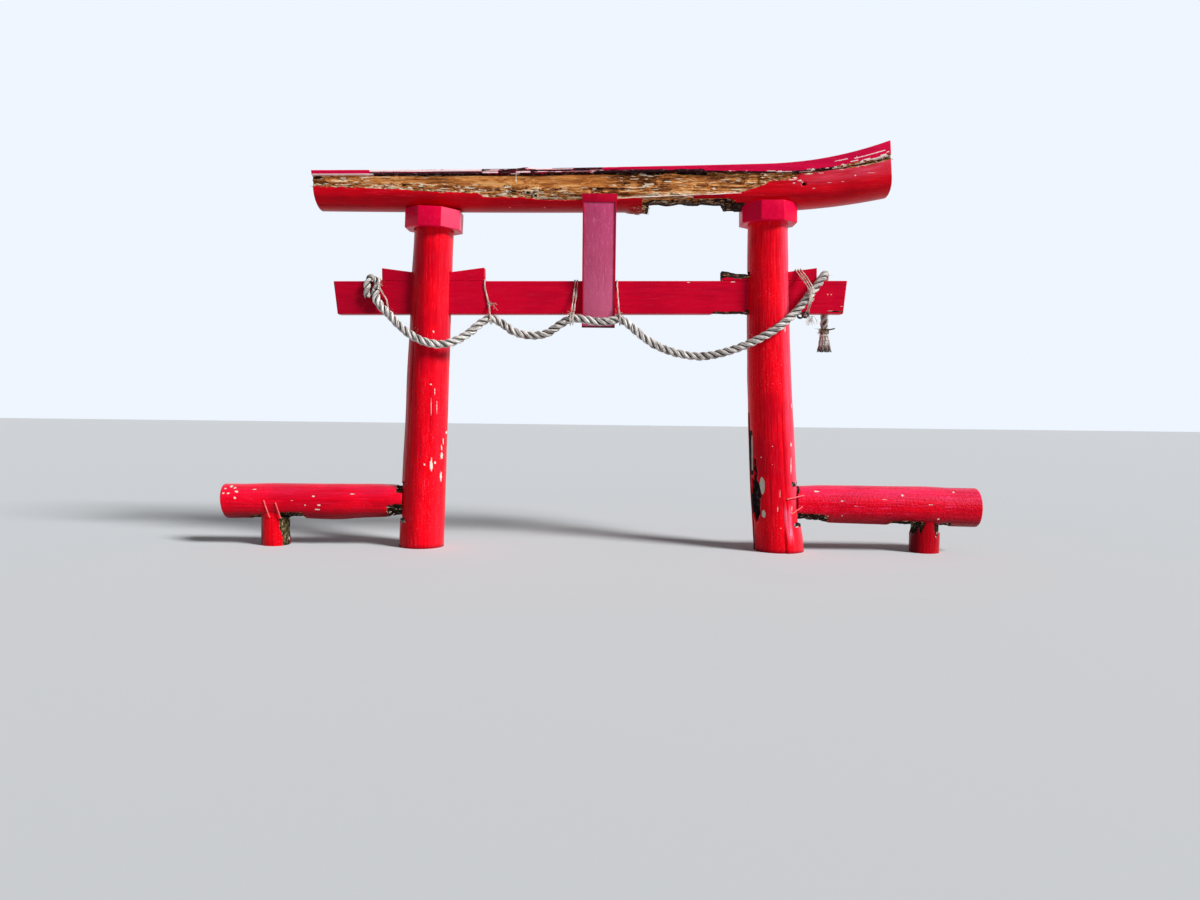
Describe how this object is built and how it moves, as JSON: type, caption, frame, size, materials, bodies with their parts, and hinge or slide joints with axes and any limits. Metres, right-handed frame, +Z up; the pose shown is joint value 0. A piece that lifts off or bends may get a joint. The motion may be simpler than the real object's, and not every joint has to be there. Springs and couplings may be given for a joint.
{
  "type": "log torii gate",
  "caption": "Painted log gate with two leaning pillars, swept top log, wedged tie beam, hanging rope and low side rails, cut off level at its feet.",
  "frame": {"origin": "middle of the gate at the level where its feet are cut off, between the two pillars", "axes": "+X right along the gate, +Y away from the viewer through the gate, +Z up"},
  "size_m": [6.7, 0.5214, 3.5865],
  "materials": {
    "red_paint": "gloss red paint on hewn wood, worn",
    "weathered_wood": "bare rotted wood, rough",
    "faded_board": "faded pink paint, matt",
    "rope": "weathered laid rope",
    "tying_cord": "thin twisted cord",
    "wire": "black wire"
  },
  "bodies": {
    "root": {"left_pillar": "red_paint", "right_pillar": "red_paint", "left_collar": "red_paint", "right_collar": "red_paint", "top_log": "weathered_wood", "top_cap": "red_paint", "tie_beam": "red_paint", "left_outer_wedge": "red_paint", "left_inner_wedge": "red_paint", "right_inner_wedge": "weathered_wood", "right_outer_wedge": "red_paint", "name_board": "faded_board", "board_head": "red_paint", "board_left_edge": "red_paint", "board_right_edge": "red_paint", "board_foot": "red_paint", "left_rail": "red_paint", "right_rail": "red_paint", "left_post": "red_paint", "right_post": "red_paint", "rope": "rope", "rope_eye": "rope", "rope_binding": "rope", "rope_tassel": "rope", "eye_tie": "tying_cord", "left_beam_tie": "tying_cord", "board_left_tie": "tying_cord", "board_right_tie": "tying_cord", "wedge_tie": "tying_cord", "wire_loops": "wire"}
  },
  "joints": []
}
